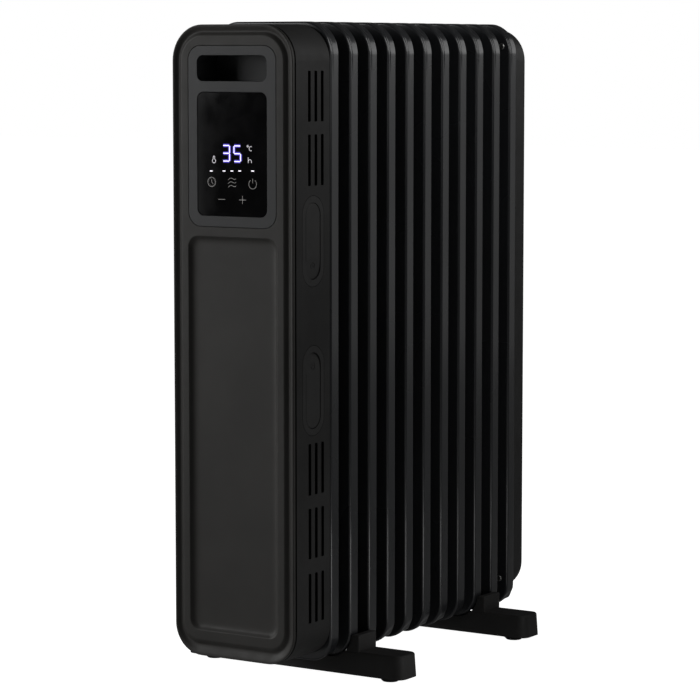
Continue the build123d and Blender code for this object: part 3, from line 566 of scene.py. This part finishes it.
# How far the skin is pushed in at a station and a depth
def skinPush(facts, kind, turned, y):
    ripple, curl, dimple, wobble, seam = [facts[n] for n in ("ripple", "curl", "dimple", "wobble", "seam")]
    seamPush = seam["push"] * math.exp(-bell(y, seam["middle"], seam["wide"]))
    if kind == "crest":
        return seamPush
    push = 0.0
    if kind == "low" and turned > 0:
        window = fade(turned, ripple["fadeIn"]) * fade(turned, ripple["fadeOut"]) * fade(y, ripple["behind"])
        push += ripple["push"] * math.sin(math.radians(turned * ripple["round"] + y * ripple["back"])) * window
        window = fade(turned, curl["fadeIn"]) * fade(turned, curl["fadeOut"]) * fade(y, curl["behind"])
        push += curl["push"] * window
    if kind == "top" and turned > 0:
        spread = sum(map(bell, (turned, y), dimple["middle"], dimple["wide"]))
        push += dimple["push"] * math.exp(-spread)
        window = fade(turned, wobble["fadeIn"]) * fade(turned, wobble["fadeOut"])
        push += wobble["push"] * math.sin(math.radians(turned * wobble["round"])) * window
    if kind == "top":
        push += seamPush * (fade(turned, seam["fadeIn"]) if turned < 0 else 1.0)
    return push


# Outer outline of the oil channels, drawn in by the amount
def channelLoop(facts, amount, steps=9):
    half, radius = facts["headerHalf"] - amount, facts["headerRadius"] - amount
    side = facts["uprights"][2] + facts["uprightHalf"] - amount
    low, high = facts["headers"]
    centre = half - radius
    meet = math.acos(min(1.0, (side - centre) / radius))
    points = []
    for i in range(steps + 1):
        angle = meet * (1 - i / steps) - math.pi / 2 * (i / steps)
        points.append((centre + radius * math.cos(angle), low + radius * math.sin(angle)))
    right = points[::-1]
    rise = radius * math.sin(meet) + facts["meetRun"]
    loop = right + [(side, low + rise), (side, high - rise)]
    loop += [(x, high + low - z) for x, z in right[::-1]]
    return loop + [(-x, z) for x, z in loop[::-1]]


# Window between the middle upright and an outer one, widened by the amount
def windowLoop(facts, side, amount, steps=5):
    inner = facts["uprights"][1] + facts["uprightHalf"] - amount
    outer = facts["uprights"][2] - facts["uprightHalf"] + amount
    low = facts["headers"][0] + facts["headerRadius"] - amount
    high = facts["headers"][1] - facts["headerRadius"] + amount
    middle, half = side * (inner + outer) / 2, (outer - inner) / 2
    radius = half * facts["windowRound"]
    return [(x + middle, z) for x, z in shieldPoints(half, low, high, radius, radius, steps)]


def makeFinMesh(facts):
    bm = bmesh.new()
    path = finPath(facts)
    depth, fold, sheet = facts["depth"], facts["fold"], facts["sheet"]

    def ring(skin, y):
        verts = []
        for x, z, nx, nz, kind, turned in path:
            # behind the fold, the rings close up where the flange is shallow
            deep = max(y * flangeDepth(facts, kind, turned) / depth, fold) if y > fold else y
            push = skin + skinPush(facts, kind, turned, deep)
            verts.append(bm.verts.new(((x - nx * push) * mm, deep * mm, (z - nz * push) * mm)))
        return verts

    def foldRings(radius, steps):
        turns = [math.pi / 2 * i / steps for i in range(steps + 1)]
        return [ring(fold - radius * math.cos(a), fold - radius * math.sin(a)) for a in turns]

    # outside of the sheet from its rear rim to the front plate, then its inside
    rings = [ring(facts["rimIn"][0], depth), ring(facts["rimIn"][1], depth - facts["rimBack"])]
    rings += [ring(0.0, y) for y in facts["skinRings"]] + foldRings(fold, facts["foldSteps"])
    rings.append(ring(fold + facts["plateEdge"], 0.0))
    loftLoops(bm, rings)
    backRings = [rings[0], ring(sheet, depth - facts["rimBack"])]
    backRings += [ring(sheet, y) for y in facts["insideRings"]] + foldRings(fold - sheet, facts["insideSteps"])
    backRings.append(ring(fold + facts["plateEdge"], sheet))
    loftLoops(bm, backRings)

    # pressed oil channels on both faces
    for base, bulge, outerRing in ((0.0, -facts["bulgeFront"], rings[-1]),
                                   (sheet, facts["bulgeRear"], backRings[-1])):
        stations = [(amount, base + bulge * share) for amount, share in facts["channelWall"]]
        outerLoops = [addLoop(bm, channelLoop(facts, amount), y) for amount, y in stations]
        loftLoops(bm, outerLoops)
        windows = []
        for side in (-1, 1):
            loops = [addLoop(bm, windowLoop(facts, side, amount), y) for amount, y in stations]
            loftLoops(bm, loops)
            fillBetween(bm, [loops[0]])
            windows.append(loops[-1])
        fillBetween(bm, [outerRing, outerLoops[0]])
        fillBetween(bm, [outerLoops[-1]] + windows)
    return bm


# The row in millimetres: front plate of the first fin, distance between fins, how many
rowFacts = {"front": -158.05, "pitch": 34.0, "count": 11}


# Node tree that sets a fin at its place in the row
def makeRowTree():
    tree = bpy.data.node_groups.new("finRow", "GeometryNodeTree")
    sockets = (("Geometry", "NodeSocketGeometry"), ("Front", "NodeSocketFloat"), ("Pitch", "NodeSocketFloat"),
               ("Place", "NodeSocketInt"), ("Enamel", "NodeSocketMaterial"))
    for name, kind in sockets:
        tree.interface.new_socket(name, in_out="INPUT", socket_type=kind)
    tree.interface.new_socket("Geometry", in_out="OUTPUT", socket_type="NodeSocketGeometry")
    source, result = tree.nodes.new("NodeGroupInput"), tree.nodes.new("NodeGroupOutput")
    step = mathNode(tree, "MULTIPLY_ADD", *[source.outputs[name] for name in ("Pitch", "Place", "Front")])
    offset = tree.nodes.new("ShaderNodeCombineXYZ")
    link(tree, step, offset.inputs["Y"])
    point = tree.nodes.new("GeometryNodeMeshLine")
    point.inputs["Count"].default_value = 1
    link(tree, offset.outputs["Vector"], point.inputs["Start Location"])
    place = tree.nodes.new("GeometryNodeInstanceOnPoints")
    link(tree, point.outputs["Mesh"], place.inputs["Points"])
    link(tree, source.outputs["Geometry"], place.inputs["Instance"])
    real = tree.nodes.new("GeometryNodeRealizeInstances")
    link(tree, place.outputs["Instances"], real.inputs["Geometry"])
    paint = tree.nodes.new("GeometryNodeSetMaterial")
    link(tree, real.outputs["Geometry"], paint.inputs["Geometry"])
    link(tree, source.outputs["Enamel"], paint.inputs["Material"])
    link(tree, paint.outputs["Geometry"], result.inputs["Geometry"])
    return tree


def socketId(tree, name):
    inputs = [item for item in tree.interface.items_tree if item.in_out == "INPUT"]
    return next(item.identifier for item in inputs if item.name == name)


def makeFins(facts, row):
    pattern = finishPiece("finPattern", makeFinMesh(facts), [finishes["finEnamel"]], 40.0)
    keepFlatsFlat(pattern)
    tree = makeRowTree()
    for index in range(row["count"]):
        fin = bpy.data.objects.new("pressedFin%02d" % (index + 1), pattern.data.copy())
        scene.collection.objects.link(fin)
        modifier = fin.modifiers.new("finRow", "NODES")
        modifier.node_group = tree
        modifier[socketId(tree, "Front")] = row["front"] * mm
        modifier[socketId(tree, "Pitch")] = row["pitch"] * mm
        modifier[socketId(tree, "Place")] = index
        modifier[socketId(tree, "Enamel")] = finishes["finEnamel"]
        applyModifiers(fin)
        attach(fin, "radiator")
        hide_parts("fin_%02d" % (index + 1))
    bpy.data.objects.remove(pattern)


makeFins(finFacts, rowFacts)
print("fins ready")

# Display marks in millimetres: x from the middle of the glass, z above the floor
displayFacts = {
    "glassFront": -222.10, "lift": 0.03, "thick": 0.05,
    "digitBox": {"width": 7.5, "height": 14.6, "stroke": 0.95, "gap": 0.35},
    "digits": ((-6.5, 511.6, "abgcd"), (6.1, 511.4, "afgcd")),
    # each layer of a digit: width in strokes, place behind the marks, thickness
    "digitLayers": {"digitHaze": (3.4, 0.02, 0.008), "digitHalo": (1.9, 0.005, 0.008),
                    "digitCore": (1.0, -0.05, 0.05)},
    "dashes": ((-23.9, 494.6), (-9.2, 494.9), (-0.1, 495.1), (8.8, 495.3), (23.5, 495.6)),
    "dashSize": (3.2, 1.0), "dashLift": 0.02, "iconStroke": 0.5, "keyStroke": 0.32,
    "bulb": (-20.7, 504.2), "degree": (17.9, 518.6), "celsius": (21.6, 516.3), "hours": (18.5, 502.9),
    "clock": (-23.5, 484.3), "power": (23.5, 483.2), "minus": (-12.0, 468.2), "plus": (11.85, 468.2),
    "air": {"left": -4.6, "long": 9.2, "rows": (480.2, 483.6, 487.0), "rise": 0.9, "tilt": 0.08,
            "start": -0.5},
}


# Flat strip of the given width along (x, z) points, with mitred corners and a little thickness
def ribbon(bm, points, width, y, thick, closed=False):
    count = len(points)
    left, right = [], []
    for i in range(count):
        before = points[i - 1] if closed or i else None
        after = points[(i + 1) % count] if closed or i < count - 1 else None
        here = Vector(points[i])
        dirs = [(here - Vector(before)).normalized()] if before is not None else []
        dirs += [(Vector(after) - here).normalized()] if after is not None else []
        along = sum(dirs, Vector((0, 0))).normalized()
        across = Vector((-along.y, along.x))
        reach = width / 2 / max(0.5, abs(across.dot(Vector((-dirs[0].y, dirs[0].x)))))
        left.append(here + across * reach)
        right.append(here - across * reach)
    front = [[bm.verts.new((p.x * mm, y * mm, p.y * mm)) for p in side] for side in (left, right)]
    back = [[bm.verts.new((p.x * mm, (y + thick) * mm, p.y * mm)) for p in side] for side in (left, right)]
    for i in range(count if closed else count - 1):
        j = (i + 1) % count
        bm.faces.new((front[0][i], front[0][j], front[1][j], front[1][i]))
        bm.faces.new((back[0][i], back[1][i], back[1][j], back[0][j]))
        bm.faces.new((front[0][i], back[0][i], back[0][j], front[0][j]))
        bm.faces.new((front[1][i], front[1][j], back[1][j], back[1][i]))
    if not closed:
        for i in (0, count - 1):
            bm.faces.new((front[0][i], front[1][i], back[1][i], back[0][i]))


def arcPoints(x, z, radius, start, end, steps=20):
    angles = [math.radians(start + (end - start) * i / steps) for i in range(steps + 1)]
    return [(x + radius * math.cos(a), z + radius * math.sin(a)) for a in angles]


# Strokes of a digit, by the usual letters of its segments; no digit here lights e
def segmentPaths(x, z, parts, box):
    w, h, g = box["width"] / 2, box["height"] / 2, box["gap"]
    ends = {"a": ((-w + g, h), (w - g, h)), "g": ((-w + g, 0), (w - g, 0)), "d": ((-w + g, -h), (w - g, -h)),
            "b": ((w, h - g), (w, g)), "c": ((w, -g), (w, g - h)), "f": ((-w, h - g), (-w, g))}
    return [shifted((x, z), *ends[part]) for part in parts]


def shifted(centre, *points):
    return [(centre[0] + x, centre[1] + z) for x, z in points]


def makeMarks(name, strokes, finish, y, thick):
    bm = bmesh.new()
    for points, width, closed in strokes:
        ribbon(bm, points, width, y, thick, closed)
    piece = finishPiece(name, bm, [finishes[finish]], 30.0, 0.0000005)
    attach(piece, "radiator")


# Lit signs: thermometer, degree sign and C, hours
def signStrokes(facts, stroke):
    bulb, degree, celsius, hours = [facts[name] for name in ("bulb", "degree", "celsius", "hours")]
    stem = shifted(bulb, (-0.9, 1.7), (-0.9, 3.8), (0.0, 4.7), (0.9, 3.8), (0.9, 1.7))
    arch = arcPoints(*shifted(hours, (1.9, 1.5))[0], 1.7, 175, 0, 10) + shifted(hours, (3.6, 0.0))
    return [(arcPoints(*bulb, 1.9, 118, 422), stroke, False), (stem, stroke, False),
            (arcPoints(*degree, 0.8, 0, 342), stroke, True),
            (arcPoints(*celsius, 2.0, 60, 300), stroke, False),
            (shifted(hours, (0.0, 5.4), (0.0, 0.0)), stroke, False), (arch, stroke, False)]


# Printed keys: clock, power, minus, plus and rising warm air
def keyStrokes(facts, key):
    clock, power, minus, plus, air = [facts[name] for name in ("clock", "power", "minus", "plus", "air")]
    paths = [shifted(clock, (0.0, 2.7), (0.0, -0.1), (1.7, -1.9)), arcPoints(*power, 4.4, 125, 415, 30),
             shifted(power, (0.0, 5.2), (0.0, 1.0)), shifted(minus, (-3.9, 0.0), (3.9, 0.0)),
             shifted(plus, (-3.85, 0.0), (3.85, 0.0)), shifted(plus, (0.0, -3.8), (0.0, 3.8))]
    for hour in range(12):
        angle = math.radians(30 * hour)
        paths.append(shifted(clock, *[(r * math.cos(angle), r * math.sin(angle)) for r in (3.3, 3.9)]))
    steps = 18
    for z in air["rows"]:
        heights = [air["rise"] * math.sin(2 * math.pi * i / steps + air["start"]) + air["tilt"] * i
                   for i in range(steps + 1)]
        paths.append([(air["left"] + air["long"] * i / steps, z + height) for i, height in enumerate(heights)])
    return [(arcPoints(*clock, 4.5, 0, 350, 36), key, True)] + [(path, key, False) for path in paths]


def makeDisplay(facts):
    box, y, thick = facts["digitBox"], facts["glassFront"] - facts["lift"], facts["thick"]
    paths = [path for x, z, parts in facts["digits"] for path in segmentPaths(x, z, parts, box)]
    for name, (strokes, behind, layerThick) in facts["digitLayers"].items():
        strips = [(path, box["stroke"] * strokes, False) for path in paths]
        makeMarks(name, strips, name, y + behind, layerThick)
    width, height = facts["dashSize"]
    dashes = [([(x - width / 2, z), (x + width / 2, z)], height, False) for x, z in facts["dashes"]]
    makeMarks("levelDashes", dashes, "dashLight", y - facts["dashLift"], thick)
    makeMarks("litSigns", signStrokes(facts, facts["iconStroke"]), "signLight", y, thick)
    makeMarks("printedIcons", keyStrokes(facts, facts["keyStroke"]), "printedIcon", y, thick)


makeDisplay(displayFacts)
print("display ready")
